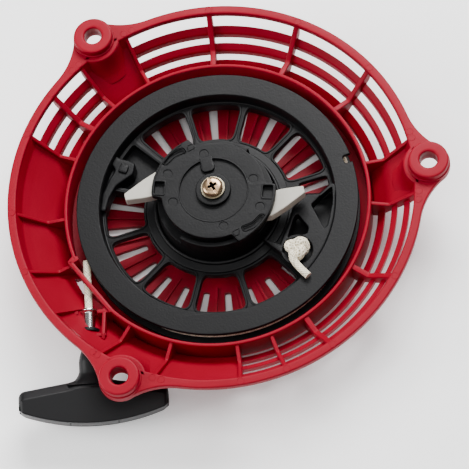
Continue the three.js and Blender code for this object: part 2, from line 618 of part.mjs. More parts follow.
const capHalf = CAVITY.halfWidth - GAP;
const capDepth = CAVITY.halfDepth - GAP;
const capOutline = [[-capHalf, CAP_TOP], ...belly(-capHalf, capHalf), [capHalf, CAP_TOP]];
const cap = prism(capOutline, -capDepth, capDepth);
add('handle_cap', cap, 'black', handle);

const endKnot = new THREE.SphereGeometry(END_KNOT_R, 16, 10);
endKnot.translate(0, ROPE_END - END_KNOT_R - GAP, 0);
add('handle_knot', solid(endKnot), 'rope', handle);

export default starter;
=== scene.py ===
"""Recoil starter for a small engine, lying on its outer face and seen from the engine side.

Sizes in the sections are in millimetres and are turned to metres when a mesh is made. The frame is
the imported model's: +Z along the pulley axis towards the engine, origin at the centre of the cover's
flat outer face, and the rope leaves along -Y. Angles are in degrees, from +X towards +Y.
"""

import math

import bmesh
import bpy
import numpy as np
from mathutils import Matrix, Vector
from mathutils.geometry import tessellate_polygon


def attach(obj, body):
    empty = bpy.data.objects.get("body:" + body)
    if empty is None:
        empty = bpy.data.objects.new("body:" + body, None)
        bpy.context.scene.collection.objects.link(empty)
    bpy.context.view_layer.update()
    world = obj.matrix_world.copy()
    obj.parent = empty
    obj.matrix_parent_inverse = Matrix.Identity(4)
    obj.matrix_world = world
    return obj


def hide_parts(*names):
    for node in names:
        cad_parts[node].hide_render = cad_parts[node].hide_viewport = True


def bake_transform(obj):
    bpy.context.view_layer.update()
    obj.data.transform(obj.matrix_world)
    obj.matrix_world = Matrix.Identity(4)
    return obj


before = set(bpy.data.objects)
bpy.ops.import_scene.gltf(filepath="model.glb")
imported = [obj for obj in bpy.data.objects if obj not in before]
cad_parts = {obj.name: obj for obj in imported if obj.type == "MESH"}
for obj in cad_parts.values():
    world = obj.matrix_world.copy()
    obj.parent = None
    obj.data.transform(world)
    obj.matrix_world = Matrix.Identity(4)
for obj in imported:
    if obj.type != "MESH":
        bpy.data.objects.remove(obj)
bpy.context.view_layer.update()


# ---- camera: a long lens on the engine side, tilted a little on its own axis ----
# It looks down at about 65 degrees, so that the rope's way out and the grip are at the lower left.

view_azimuth, view_elevation, view_roll = np.radians([12.4, 64.75, 15.83])
view_distance = 1.168
aim = Vector((0.0082, -0.0200, 0.0300))

back = Vector((math.sin(view_azimuth) * math.cos(view_elevation),
               -math.cos(view_azimuth) * math.cos(view_elevation), math.sin(view_elevation)))
level = Vector((math.cos(view_azimuth), math.sin(view_azimuth), 0))
right = level * math.cos(view_roll) - back.cross(level) * math.sin(view_roll)
eye = Vector((0, 0, 0.040)) + back * view_distance
towards = (eye - aim).normalized()
right = (right - towards * right.dot(towards)).normalized()

camera = bpy.data.objects.new("camera", bpy.data.cameras.new("camera"))
camera.data.lens = 198.7
camera.data.sensor_width = 36
camera.data.clip_start, camera.data.clip_end = 0.01, 20
camera_axes = Matrix((right, towards.cross(right), towards)).transposed()
camera.matrix_world = Matrix.Translation(eye) @ camera_axes.to_4x4()
bpy.context.scene.collection.objects.link(camera)
bpy.context.scene.camera = camera


# ---- studio: a pale floor that glows beyond the part as painted light and is left dark under it as a painted shadow, one large soft box above the far side, and a pale room ----
# The soft box is long and close, so that it draws one broad highlight along each rounded edge.

def linear(hex_colour):
    """A colour written as sRGB hex, as linear light: each channel is (c + 0.055) / 1.055 to the power 2.4,
    and the darkest ones are c / 12.92."""
    channels = [int(hex_colour[k:k + 2], 16) / 255 for k in (1, 3, 5)]
    return (*[c / 12.92 if c <= 0.04045 else ((c + 0.055) / 1.055) ** 2.4 for c in channels], 1.0)


def add_node(tree, kind, inputs=None, **settings):
    """One shader node with its settings. Each input gets a value, or a link if it is given a socket."""
    new = tree.nodes.new("ShaderNode" + kind)
    for name, value in settings.items():
        setattr(new, name, value)
    for name, value in (inputs or {}).items():
        if isinstance(value, bpy.types.NodeSocket):
            tree.links.new(value, new.inputs[name])
        else:
            new.inputs[name].default_value = value
    return new


def blank_material(name):
    """An empty material and its node tree."""
    material = bpy.data.materials.new(name)
    material.use_nodes = True
    material.node_tree.nodes.clear()
    return material, material.node_tree


def finished(material, shader):
    """The material, with that shader as its surface."""
    add_node(material.node_tree, "OutputMaterial", {"Surface": shader.outputs["BSDF"]})
    return material


def glowing_paper_with_painted_shadow():
    """Matt white paper that glows faintly beyond the part, painted light which keeps its far edges pale, and
    doesn't glow under the part, a painted shadow there.
    """
    material, tree = blank_material("paper_with_painted_glow_and_shadow")
    place = add_node(tree, "TexCoord").outputs["Object"]
    distance = add_node(tree, "VectorMath", {0: place}, operation="LENGTH").outputs["Value"]
    # Painted shadow: no glow within 62 mm of the centre. The painted glow rises to full strength at 110 mm.
    painted_shadow_reach, glow_full, glow_strength = 0.062, 0.11, 0.45
    glow = add_node(tree, "MapRange", {"Value": distance, "From Min": painted_shadow_reach, "From Max": glow_full,
                                       "To Max": glow_strength})
    shader = add_node(tree, "BsdfPrincipled", {"Base Color": linear("#F4F4F4"), "Roughness": 0.9,
                                               "Specular IOR Level": 0.1, "Emission Color": linear("#FFFFFF"),
                                               "Emission Strength": glow.outputs["Result"]})
    return finished(material, shader)


floor_mesh = bpy.data.meshes.new("floor")
floor_reach = 3.0
floor_mesh.from_pydata([(-floor_reach, -floor_reach, 0), (floor_reach, -floor_reach, 0),
                        (floor_reach, floor_reach, 0), (-floor_reach, floor_reach, 0)], [], [(0, 1, 2, 3)])
floor = bpy.data.objects.new("floor", floor_mesh)
floor.data.materials.append(glowing_paper_with_painted_shadow())
floor.location.z = -0.0005
bpy.context.scene.collection.objects.link(floor)

room = bpy.data.worlds.new("pale_room")
room.use_nodes = True
room.node_tree.nodes["Background"].inputs["Color"].default_value = linear("#FFFFFF")
room.node_tree.nodes["Background"].inputs["Strength"].default_value = 0.2
bpy.context.scene.world = room


def soft_box(name, place, width, height, power):
    """A rectangular light of that size and power, in metres and watts, turned to face the part."""
    light = bpy.data.lights.new(name, "AREA")
    light.shape = "RECTANGLE"
    light.size, light.size_y, light.energy = width, height, power
    lamp = bpy.data.objects.new(name, light)
    lamp.location = place
    lamp.rotation_euler = (Vector((0, 0, 0.02)) - Vector(place)).to_track_quat("-Z", "Y").to_euler()
    bpy.context.scene.collection.objects.link(lamp)


soft_box("soft_box_far", (0.25, 0.75, 0.95), 0.9, 0.5, 32)
soft_box("soft_box_above", (0.1, -0.3, 1.5), 1.4, 1.4, 14)
soft_box("soft_box_left", (-0.9, -0.1, 0.6), 0.5, 0.7, 12)


# ---- housing: the cover that carries everything ----
# One crimson nylon moulding: a flange with three bolt bosses, a slatted wall on upright ribs, a ring that
# guards the pulley, a louvred dome and the post. Three bolts through its bosses hold it to the engine.

MM = 0.001


def polar(radius, angle):
    """Points at that radius and angle, x and y in the last axis."""
    angle = np.radians(angle)
    return np.stack(np.broadcast_arrays(radius * np.cos(angle), radius * np.sin(angle)), -1)


def arc(radius, start, end, step=3.0, centre=(0, 0)):
    """Points along an arc, both ends included, no more than step degrees apart."""
    count = max(2, math.ceil(abs(end - start) / step) + 1)
    return polar(radius, np.linspace(start, end, count)) + np.array(centre)


def circle(radius, count=96, centre=(0, 0)):
    """Points evenly round a circle."""
    return polar(radius, np.arange(count) * 360 / count) + np.array(centre)


def rounded(points, reach, steps=4):
    """A closed outline with each corner made a quadratic curve, which starts and ends up to reach from it."""
    points = np.array(points, float)
    back_leg, fore_leg = np.roll(points, 1, 0) - points, np.roll(points, -1, 0) - points
    back_length = np.linalg.norm(back_leg, axis=1, keepdims=True)
    fore_length = np.linalg.norm(fore_leg, axis=1, keepdims=True)
    reach = np.broadcast_to(np.asarray(reach, float).reshape(-1, 1), back_length.shape)
    start = points + back_leg * np.minimum(reach / back_length, 0.48)
    end = points + fore_leg * np.minimum(reach / fore_length, 0.48)
    t = np.linspace(0, 1, steps)[None, :, None]
    curve = (1 - t) ** 2 * start[:, None] + 2 * t * (1 - t) * points[:, None] + t ** 2 * end[:, None]
    curve = curve.reshape(-1, points.shape[1])
    return curve[np.linalg.norm(curve - np.roll(curve, 1, 0), axis=1) > 1e-6]


def grid(points, round_rows=False, round_columns=True):
    """Quads between neighbouring points of a rows x columns array; a round direction meets its own start."""
    rows, columns = points.shape[:2]
    row_spans, column_spans = rows - (not round_rows), columns - (not round_columns)
    r, c = np.meshgrid(np.arange(row_spans), np.arange(column_spans), indexing="ij")
    r, c = r.ravel(), c.ravel()
    next_r, next_c = (r + 1) % rows, (c + 1) % columns
    quads = np.stack([r * columns + c, r * columns + next_c,
                      next_r * columns + next_c, next_r * columns + c], 1)
    return points.reshape(-1, 3), quads.tolist()


def carried(stations, closed=False):
    """An outline carried along a path, as a stations x outline array. An open path gets a flat face on each
    end."""
    points, faces = grid(stations, round_rows=closed)
    if not closed:
        count = stations.shape[1]
        faces += [list(range(count))[::-1], list(range(len(points) - count, len(points)))]
    return points, faces


def turned(profile, start=0.0, end=360.0, step=2.0):
    """A closed profile of (radius, z) points carried round the z axis, from one angle to another."""
    whole = end - start >= 360
    count = max(3, math.ceil((end - start) / step) + 1)
    angles = np.radians(np.linspace(start, end, count))[:count - whole, None]
    r, z = np.array(profile, float).T
    stations = np.stack([r * np.cos(angles), r * np.sin(angles), z + 0 * angles], -1)
    return carried(stations, closed=whole)


def spun(profile, count=48):
    """A stack of circles, one for each (radius, z) point, with a flat face at the bottom and the top."""
    r, z = np.array(profile, float).T
    ring = polar(1.0, np.arange(count) * 360 / count)
    height = np.broadcast_to(z[:, None, None], (len(r), count, 1))
    return carried(np.concatenate([r[:, None, None] * ring, height], -1))


def drawn_in(outline, amount):
    """A closed outline moved to its left by amount: each point goes along the sum of its two sides' normals,
    divided by one plus their dot product, which keeps both sides at that distance."""
    side = np.roll(outline, -1, 0) - outline
    side = side / np.maximum(np.linalg.norm(side, axis=1, keepdims=True), 1e-9)
    normal = side[:, ::-1] * np.array([-1, 1])
    before = np.roll(normal, 1, 0)
    mitre = (normal + before) / np.maximum(1 + (normal * before).sum(1, keepdims=True), 0.4)
    return outline + amount * mitre


def signed_area(outline):
    """Half the sum of each side's cross product with the next: positive when it runs anticlockwise."""
    ahead = np.roll(outline, -1, 0)
    return (outline[:, 0] * ahead[:, 1] - outline[:, 1] * ahead[:, 0]).sum() / 2


def plate(outline, low, high, holes=(), edge=0.4, steps=3, hole_edge=None):
    """A moulded plate: the outline and its holes pushed up from low to high, with quarter-round edges. Near
    each face a loop is drawn in by edge * (1 - cos t) and lifted by edge * sin t. hole_edge is the holes' own
    edge."""
    t = np.linspace(0, np.pi / 2, steps)
    points, faces, below, above, count = [], [], [], [], 0
    for number, loop in enumerate([outline, *holes]):
        loop = np.array(loop, float)
        reach = edge if number == 0 or hole_edge is None else hole_edge
        inset = reach * (1 - np.cos(t))
        inset = np.concatenate([inset[::-1], inset])
        height = np.concatenate([low + reach - reach * np.sin(t[::-1]), high - reach + reach * np.sin(t)])
        if (signed_area(loop) > 0) != (number == 0):
            loop = loop[::-1]
        rows = np.stack([np.column_stack([drawn_in(loop, d), np.full(len(loop), z)])
                         for d, z in zip(inset, height)])
        side, quads = grid(rows)
        points.append(side)
        faces += (np.array(quads) + count).tolist()
        below.append((rows[0], count))
        above.append((rows[-1], count + len(side) - len(loop)))
        count += len(side)
    for loops, flip in ((below, True), (above, False)):
        names = np.concatenate([first + np.arange(len(loop)) for loop, first in loops])
        corners = tessellate_polygon([[Vector((x, y, 0)) for x, y, _ in loop] for loop, _ in loops])
        triangles = names[np.array(corners)]
        faces += (triangles[:, ::-1] if flip else triangles).tolist()
    return np.concatenate(points), faces


def placed(part, turn=0.0, to=(0, 0, 0), stood=False):
    """The part stood on edge, so that its y becomes z, then turned about z, then moved."""
    points, faces = part
    if stood:
        points = points[:, [0, 2, 1]] * np.array([1, -1, 1])
    c, s = math.cos(math.radians(turn)), math.sin(math.radians(turn))
    return points @ np.array([[c, s, 0], [-s, c, 0], [0, 0, 1]]) + np.array(to, float), faces


def piece(name, parts, material, body, stands_for=(), crease=32, values=None):
    """One object from several closed parts, in metres, smooth up to the crease angle, riding on its body.
    values gives each point a number for the material to read, by name."""
    starts = np.cumsum([0] + [len(points) for points, _ in parts])
    faces = [[start + k for k in face]
             for (_, part_faces), start in zip(parts, starts) for face in part_faces]
    mesh = bpy.data.meshes.new(name)
    mesh.from_pydata(np.concatenate([points for points, _ in parts]) * MM, [], faces)
    shell = bmesh.new()
    shell.from_mesh(mesh)
    bmesh.ops.recalc_face_normals(shell, faces=shell.faces)
    shell.to_mesh(mesh)
    shell.free()
    for label, numbers in (values or {}).items():
        mesh.attributes.new(label, "FLOAT", "POINT").data.foreach_set("value", numbers.astype(np.float32))
    mesh.shade_smooth()
    mesh.set_sharp_from_angle(angle=math.radians(crease))
    mesh.materials.append(material)
    made = bpy.data.objects.new(name, mesh)
    bpy.context.scene.collection.objects.link(made)
    made.modifiers.new("flat_faces_stay_flat", "WEIGHTED_NORMAL").keep_sharp = True
    if body:
        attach(made, body)
    if stands_for:
        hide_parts(*stands_for)
    return made


def moulded_plastic(name, colour, shade, roughness, grain=0.9, relief=0.05, clouds=14.0, shine=0.2):
    """Injection-moulded plastic: a slow drift of tone from the flow of the melt, and the fine grain that the
    steel tool leaves. The real grain is about 0.1 mm; it is drawn coarser so that it shows."""
    material, tree = blank_material(name)
    place = add_node(tree, "TexCoord").outputs["Object"]
    flow = add_node(tree, "TexNoise", {"Vector": place, "Scale": 1 / (clouds * MM), "Detail": 3.0})
    tone = add_node(tree, "Mix", {"Factor": flow.outputs["Fac"], "A": linear(shade), "B": linear(colour)},
                    data_type="RGBA")
    speck = add_node(tree, "TexNoise", {"Vector": place, "Scale": 1 / (grain * MM), "Detail": 2.0})
    gloss = add_node(tree, "MapRange", {"Value": speck.outputs["Fac"], "To Min": roughness - 0.06,
                                        "To Max": roughness + 0.06})
    skin = add_node(tree, "Bump", {"Height": speck.outputs["Fac"], "Strength": 0.35, "Distance": relief * MM})
    shader = add_node(tree, "BsdfPrincipled", {
        "Base Color": tone.outputs["Result"], "Roughness": gloss.outputs["Result"], "IOR": 1.5,
        "Specular IOR Level": shine, "Normal": skin.outputs["Normal"]})
    return finished(material, shader)


crimson_nylon = moulded_plastic("crimson_nylon_moulded", "#860420", "#7C0319", roughness=0.42, shine=0.1)

boss_angles = [3, 123, 243]
boss_circle_r, boss_r, bolt_hole_r = 98, 9.1, 4.0
flange_outer_r, flange_inner_r = 94.8, 90.7
flange_low, flange_high, boss_high = 32, 35.6, 40
boss_step_r, boss_step_high = 9.6, 36.5
ear_r, ear_fillet_r = 9.58, 34


def flange_edge(angle):
    """The flange's outer radius at each angle: its own circle, the ear's nose about each boss, and between
    them the near side of a fillet circle that touches both."""
    fillet_reach, fillet_span = flange_outer_r + ear_fillet_r, ear_r + ear_fillet_r
    fillet_at = np.arccos((fillet_reach ** 2 + boss_circle_r ** 2 - fillet_span ** 2)
                          / (2 * fillet_reach * boss_circle_r))
    touch_x = boss_circle_r + ear_r * (fillet_reach * np.cos(fillet_at) - boss_circle_r) / fillet_span
    touch_y = ear_r * fillet_reach * np.sin(fillet_at) / fillet_span
    edge = np.full(len(angle), float(flange_outer_r))
    for boss in boss_angles:
        off = np.abs(np.radians((angle - boss + 180) % 360 - 180))
        nose = boss_circle_r * np.cos(off) + np.sqrt(
            np.maximum(ear_r ** 2 - (boss_circle_r * np.sin(off)) ** 2, 0))
        bend = off - fillet_at
        fillet = fillet_reach * np.cos(bend) - np.sqrt(
            np.maximum(ear_fillet_r ** 2 - (fillet_reach * np.sin(bend)) ** 2, 0))
        edge = np.where(off < fillet_at, fillet, edge)
        edge = np.where(off < np.arctan2(touch_y, touch_x), nose, edge)
    return edge


around = np.arange(0, 360, 0.75)
bolt_holes = [circle(bolt_hole_r, 48, polar(boss_circle_r, angle)) for angle in boss_angles]
flange = plate(polar(flange_edge(around), around), flange_low, flange_high,
               [circle(flange_inner_r, 360), *bolt_holes], edge=0.8, steps=4)

boss_section = rounded([(bolt_hole_r, flange_low), (boss_r, flange_low), (boss_r, 35.8), (boss_r, boss_high),
                        (bolt_hole_r, boss_high)], [0.3, 0.6, 0, 1.2, 1.3], 6)
bosses = [placed(turned(boss_section, step=6), to=(*polar(boss_circle_r, angle), 0)) for angle in boss_angles]
step_section = rounded([(bolt_hole_r, flange_low), (boss_step_r, flange_low), (boss_step_r, boss_step_high),
                        (bolt_hole_r, boss_step_high)], [0.3, 0.6, 0.5, 0.3], 5)
boss_steps = [placed(turned(step_section, step=6), to=(*polar(boss_circle_r, angle), 0))
              for angle in boss_angles]

# The wall is solid between the slatted sectors. There it is only slats, cut from the same section.
wall_inner = [(90.9, 34.8), (89.2, 28.4), (86, 25), (71.4, 11)]
wall_outer = [(70.4, 7.6), (73.4, 8.6), (88, 22.6), (91.8, 27.2), (93, 33)]
slatted_sectors = [(-84.7, -5), (11.5, 115), (131, 157)]
rope_gap = (203, 216)
solid_sectors = [(-5, 11.5), (115, 131), (157, rope_gap[0]), (rope_gap[1], 360 - 84.7)]
slats = [(73.1, 76.7), (79.7, 82.6), (85.6, 88.6)]


def wall_height(line, radius):
    """The height of a wall line at a radius, read along its points."""
    r, z = np.array(sorted(line)).T
    return np.interp(radius, r, z)


def slat_section(inner, outer):
    """The part of the wall's section between two radii, with soft corners."""
    return rounded([(inner, wall_height(wall_outer, inner)), (outer, wall_height(wall_outer, outer)),
                    (outer, wall_height(wall_inner, outer)), (inner, wall_height(wall_inner, inner))], 0.9)


wall_section = rounded(wall_outer + wall_inner, 0.6, 3)
walls = [turned(wall_section, start, end) for start, end in solid_sectors]
walls += [turned(slat_section(*slat), start, end) for start, end in slatted_sectors for slat in slats]
walls.append(turned(slat_section(73.3, 91.5), *rope_gap))

rib_angles = [157, 143, 131, 115, 89.5, 63, 37, 11.5, -5, -31.3, -57.5, -71.7, -84.7, 251, 234, 200.5, 181.8]
wide_rib_angles = [143, 89.5, 63, 37, -31.3, -57.5]
rib_half, wide_rib_half = 0.9, 1.3
rib_outline = rounded([(91.8, 34.9), (78.6, 20.6), (70.3, 22.3), (70.3, 9.6), (73.4, 9), (88, 23),
                       (91.6, 27.4), (92.6, 33)], 0.8, 3)
rib_halves = [wide_rib_half if angle in wide_rib_angles else rib_half for angle in rib_angles]
ribs = [placed(plate(rib_outline, -half, half, edge=0.6), angle, stood=True)
        for angle, half in zip(rib_angles, rib_halves)]

# Inside the flange a skirt round each boss runs down into the wall. It is turned about the boss, and each of
# its points is drawn towards the pulley's axis as far as the wall's outer face.
skirt_section = rounded([(7, 31), (10, 24.5), (17.5, 20.5), (14.6, 24), (12.6, 29), (11.6, 35.6), (7, 35.6)],
                        [0.5, 0.5, 0.5, 3, 4, 0.9, 0.5], 6)
skirt_points, skirt_faces = placed(turned(skirt_section, 108, 252, 6), to=(boss_circle_r, 0, 0))
outer_r, outer_z = np.array(wall_outer[1:]).T
skirt_reach = np.hypot(skirt_points[:, 0], skirt_points[:, 1])
skirt_limit = np.interp(skirt_points[:, 2], outer_z, outer_r - 0.4)
skirt_points[:, :2] *= np.minimum(1, skirt_limit / skirt_reach)[:, None]
boss_skirts = [placed((skirt_points, skirt_faces), angle) for angle in boss_angles]

# Each rib ends under the flange in the round mark of an ejector pin, and so does each side of an ear.
pin_circle_r = 92.8
pin_angles = rib_angles + [boss + side for boss in boss_angles for side in (-10.5, 10.5)]
pin_mark = [(1.75, 33), (1.75, flange_high + 0.02), (1.65, flange_high + 0.12), (1.35, flange_high + 0.12),
            (1.25, flange_high + 0.03)]
pin_marks = [placed(spun(pin_mark, 24), to=(*polar(pin_circle_r, angle), 0)) for angle in pin_angles]

guard_section = rounded([(69, 8.4), (70.7, 8.4), (70.7, 23.2), (69, 23.2)], [0.2, 0.2, 0.8, 0.8], 5)
guard = turned(guard_section, 223.5, 360 + 199.5)

louvre_angles = 2.2 + 15 * np.arange(24)
louvre_outline = rounded([(36.7, -1.4), (57.5, -2.1), (57.5, 2.1), (36.7, 1.4)], 0.9, 4)
turns = [np.array([[math.cos(a), math.sin(a)], [-math.sin(a), math.cos(a)]])
         for a in np.radians(louvre_angles)]
dome = plate(circle(60.2, 180), 0, 2.6, [louvre_outline @ turn for turn in turns], edge=0.35)
fin_outline = rounded([(34.5, 2.2), (58.5, 2.2), (58.5, 3.9), (34.5, 3.9)], 0.3)
fins = [placed(plate(fin_outline, -0.55, 0.55, edge=0.25), angle + 7.5, stood=True)
        for angle in louvre_angles]
shoulder_section = [(59.6, 0), (62.6, 3.4), (65.6, 6.2), (70.8, 7.8), (70.8, 9.4), (64.2, 8.2), (60, 2.6)]
shoulder = turned(rounded(shoulder_section, 0.8, 4))
post = turned(rounded([(3.9, 1.2), (13, 1.2), (8, 4.6), (6.5, 6.5), (6.5, 33), (3.9, 33)], 0.4, 3), step=6)

# The rope's way out: a pocket in the wall with a slotted cross wall, under a bridge that closes the guard.
eyelet_x, rope_z = -60.6, 18.4
pocket_left, pocket_right, pocket_front, pocket_back = -69.6, -52.4, -61.5, -47.7
slot_half = 4.35
cross_wall_outline = np.concatenate([
    [(pocket_left, 11.2), (pocket_right + 3, 11.2), (pocket_right + 3, 22), (eyelet_x + slot_half, 22)],
    arc(slot_half, 0, -180, 15, (eyelet_x, rope_z)), [(eyelet_x - slot_half, 22), (pocket_left, 22)]])
cross_wall = placed(plate(cross_wall_outline, -0.95, 0.95, edge=0.5), to=(0, pocket_back - 1.2, 0),
                    stood=True)
pocket_floor = plate(rounded([(-66, pocket_front), (pocket_right, pocket_front), (pocket_right, -45),
                              (-62, -36), (-71, -36), (-71, -50)], 1), 10.6, 12.6, edge=0.4)
side_wall_outline = rounded([(0, 10.8), (16.5, 10.8), (16.5, 22), (14, 23), (0, 21.6)], 0.6)
side_wall = placed(placed(plate(side_wall_outline, -0.85, 0.85, edge=0.45), stood=True), -92.5,
                   (pocket_right - 0.6, -46.3, 0))
front_wall_outline = np.concatenate([
    [(-65.6, 11.2), (pocket_right, 11.2), (pocket_right, 22), (eyelet_x + 3.9, 22)],
    arc(3.9, 0, -180, 15, (eyelet_x, rope_z)), [(eyelet_x - 3.9, 22), (-65.6, 22)]])
front_wall = placed(plate(front_wall_outline, -0.8, 0.8, edge=0.45), to=(0, -60.3, 0), stood=True)
bridge_line = np.array([(-68.2, -24.2), (-49.4, -49.8)])
bridge_length = np.linalg.norm(bridge_line[1] - bridge_line[0])
bridge_angle = math.degrees(math.atan2(*(bridge_line[1] - bridge_line[0])[::-1]))
bridge = placed(plate([(-0.5, -1.1), (bridge_length, -1.1), (bridge_length, 1.1), (-0.5, 1.1)], 20.5, 23.2,
                      edge=0.7), bridge_angle, (*bridge_line[0], 0))
jog_outline = [(-64.6, -21.6), (-64.2, -23.4), (-67.4, -25.4), (-69.6, -24.2), (-67.2, -21.2)]
jog = plate(rounded(jog_outline, 0.5), 9.6, 23.2, edge=0.5)

housing_parts = [flange, *bosses, *boss_steps, *boss_skirts, *walls, *ribs, *pin_marks, guard, dome, *fins,
                 shoulder, post, cross_wall, pocket_floor, side_wall, front_wall, bridge, jog]
piece("housing_moulding", housing_parts, crimson_nylon, "root", ["housing"])


# ---- post insert: the thread that takes the centre screw ----
# A plain brass bush pressed into the post. Only its upper edge can be seen once the screw is out.

def turned_metal(name, colour, roughness, change=3.6, shade_recess=False):
    """Metal turned or drawn to a smooth skin, with a slow change of gloss, as a lathe tool or a die leaves
    it. With the recess option it turns near black where the mesh's recess value is high, a painted shade in
    the recess."""
    material, tree = blank_material(name)
    place = add_node(tree, "TexCoord").outputs["Object"]
    streak = add_node(tree, "TexNoise", {"Vector": place, "Scale": 1 / (change * MM), "Detail": 1.0})
    gloss = add_node(tree, "MapRange", {"Value": streak.outputs["Fac"], "To Min": roughness - 0.05,
                                        "To Max": roughness + 0.08})
    scratch = add_node(tree, "Bump", {"Height": streak.outputs["Fac"], "Strength": 0.02,
                                      "Distance": 0.002 * MM})
    skin = linear(colour)
    if shade_recess:
        recess_shade = add_node(tree, "Attribute", attribute_name="recess_shade")
        # Painted shade: near black where the recess value is high.
        blend = add_node(tree, "Mix", {"Factor": recess_shade.outputs["Fac"], "A": linear(colour),
                                       "B": linear("#0A0706")}, data_type="RGBA")
        skin = blend.outputs["Result"]
    shader = add_node(tree, "BsdfPrincipled", {
        "Base Color": skin, "Metallic": 1.0, "Roughness": gloss.outputs["Result"],
        "Normal": scratch.outputs["Normal"]})
    return finished(material, shader)


insert_section = rounded([(2.8, 14.4), (3.6, 14.4), (3.6, 32.8), (2.8, 32.8)], 0.2, 3)
piece("brass_insert", [turned(insert_section, step=8)], turned_metal("turned_brass", "#C9A24A", 0.32), "root",
      ["post_insert"])


# ---- recoil spring: winds the rope back ----
# A flat strip of hardened spring steel in 16 turns. It is hooked to the post inside and to the pulley's cup
# outside.

spring_turns, spring_strip = 16, 0.45
wound = np.linspace(0, 1, spring_turns * 48)
spring_r = 7.6 + (26.2 - 7.6 - spring_strip) * wound
strip = np.array([(0, 6.0), (spring_strip, 6.0), (spring_strip, 17.6), (0, 17.6)])
spring_ray = polar(1.0, 360 * spring_turns * wound)
spring_points = np.concatenate([(spring_r[:, None, None] + strip[None, :, :1]) * spring_ray[:, None, :],
                                np.broadcast_to(strip[None, :, 1:], (len(wound), 4, 1))], -1)
blue_steel = turned_metal("blued_spring_steel", "#5C6068", 0.3)
piece("recoil_strip", [carried(spring_points)], blue_steel, "root", ["recoil_spring"])


# ---- pulley: the reel that the rope winds on ----
# One charcoal nylon moulding: a flat rim over the rope groove, a web with twelve openings, and a hub that
# carries the pawls on top and the recoil spring in its cup. It turns on the housing's post.

charcoal_nylon = moulded_plastic("charcoal_nylon_moulded", "#08080A", "#040405", roughness=0.46, relief=0.2,
                                 clouds=9, shine=0.17)

pulley_r, rim_inner_r = 64.9, 54.4
rim_low, rim_high = 20.9, 23.2
web_low, web_high = 14.3, 17.5
notch_angle, notch_half, notch_r = 15.2, 1.75, 61.2
rim_edge = np.concatenate([
    arc(pulley_r, notch_angle + notch_half, notch_angle + 360 - notch_half, 1.5),
    rounded([polar(pulley_r - 0.6, notch_angle - notch_half), polar(notch_r, notch_angle - notch_half),
             polar(notch_r, notch_angle + notch_half), polar(pulley_r - 0.6, notch_angle + notch_half)],
            [0, 0.9, 0.9, 0])])
rim = plate(rim_edge, rim_low, rim_high, [circle(rim_inner_r, 240)], edge=0.45, steps=4)
drum_section = rounded([(56.3, 12.6), (pulley_r, 12.0), (pulley_r, 10.6), (52.6, 10.6), (52.6, web_high),
                        (rim_inner_r - 0.9, web_high), (rim_inner_r - 0.1, 22.4), (57, 22.4), (57, rim_low),
                        (56.3, rim_low)], 0.3, 3)
drum = turned(drum_section)

window_centres = [29.3, 59.3, 89.3, 119.3, 179.3, 209.3, 239.3, 269.3, 299.3]
window_inner_r, window_outer_r, spoke_half = 34.4, 51.8, 1.5
window_half, window_corner = 15.0, 4.2


def window(centre):
    """An opening between two spokes of even width: the spoke's half width over the radius is its angle."""
    def side(radius, sign):
        return polar(radius, centre + sign * (window_half - math.degrees(spoke_half / radius)))
    outer, inner = window_half - 7.5, window_half - 9.5
    corners = [side(window_outer_r, -1), *arc(window_outer_r, centre - outer, centre + outer),
               side(window_outer_r, 1), side(window_inner_r, 1),
               *arc(window_inner_r, centre + inner, centre - inner), side(window_inner_r, -1)]
    between = [len(arc(window_outer_r, -outer, outer)), len(arc(window_inner_r, -inner, inner))]
    reach = [window_corner, *[0] * between[0], window_corner, window_corner, *[0] * between[1], window_corner]
    return rounded(corners, reach, 6)


def sector(inner_r, outer_r, start, end, corner=1.2):
    """A ring sector's outline with soft corners."""
    outer, inner = arc(outer_r, start, end), arc(inner_r, end, start)
    reach = np.zeros(len(outer) + len(inner))
    reach[[0, len(outer) - 1, len(outer), -1]] = corner
    return rounded(np.concatenate([outer, inner]), reach)


web = plate(circle(53.4, 180), web_low, web_high,
            [circle(27, 90), *[window(centre) for centre in window_centres],
             sector(38.5, window_outer_r, 3.5, 12.8, 2.2), sector(31, 52, 137.5, 163),
             sector(36, 52.5, -27, 2.5)],
            edge=0.4)
seat_bed = plate(sector(33, 53.5, -32, 3), 10.8, 12.2, edge=0.2)
seat_walls = plate(sector(33, 53.8, -31.5, 3.3), 11.8, web_high - 0.4, [sector(36, 52.6, -27, 2.5)], edge=0.3)


def rim_bead(outline, width, low, high):
    """A rounded bead of that width round an opening: its outline is set back by each of the bead's points."""
    across = [(0.15, low), (0.15, high - 0.3), (0.35, high), (width - 0.35, high), (width, high - 0.35),
              (width, low)]
    return carried(np.stack([np.column_stack([drawn_in(outline, -back), np.full(len(outline), z)])
                             for back, z in across]), closed=True)


window_beads = [rim_bead(window(centre), 1.25, web_high - 0.6, web_high + 0.4) for centre in window_centres]
hub_foot = turned(rounded([(27, 17), (33.0, 17), (33.0, 18.3), (27, 18.7)], [0.2, 0.2, 0.4, 0.2]), step=3)

# The deep pocket across from the knot, with the lever-shaped boss that stands in it.
pocket_frame = plate(sector(28, 54, 135, 166), 11.4, web_high + 0.1, [sector(31, 52.6, 137, 163.5)], edge=0.3)
pocket_bed = plate(sector(28, 54, 135, 166), 10.8, 12.2, edge=0.2)
lever_outline = rounded([(-46.8, 29.6), (-44.6, 27.2), (-40.6, 26.0), (-37.4, 23.8), (-38.6, 18.6),
                         (-43.0, 15.8), (-46.6, 13.4), (-50.0, 7.4), (-51.7, 1.0), (-54.4, 1.2),
                         (-53.2, 9.6), (-49.6, 17.4), (-46.9, 21.6), (-49.2, 25.2)], 1.0)
lever = plate(lever_outline, 12, 20.4, edge=0.9, steps=4)
lever_step_outline = rounded([(-43.8, 24.6), (-40.2, 22.6), (-41.6, 18.8), (-45.6, 20.4)], 0.8)
lever_step = plate(lever_step_outline, 20, 21.6, edge=0.6)

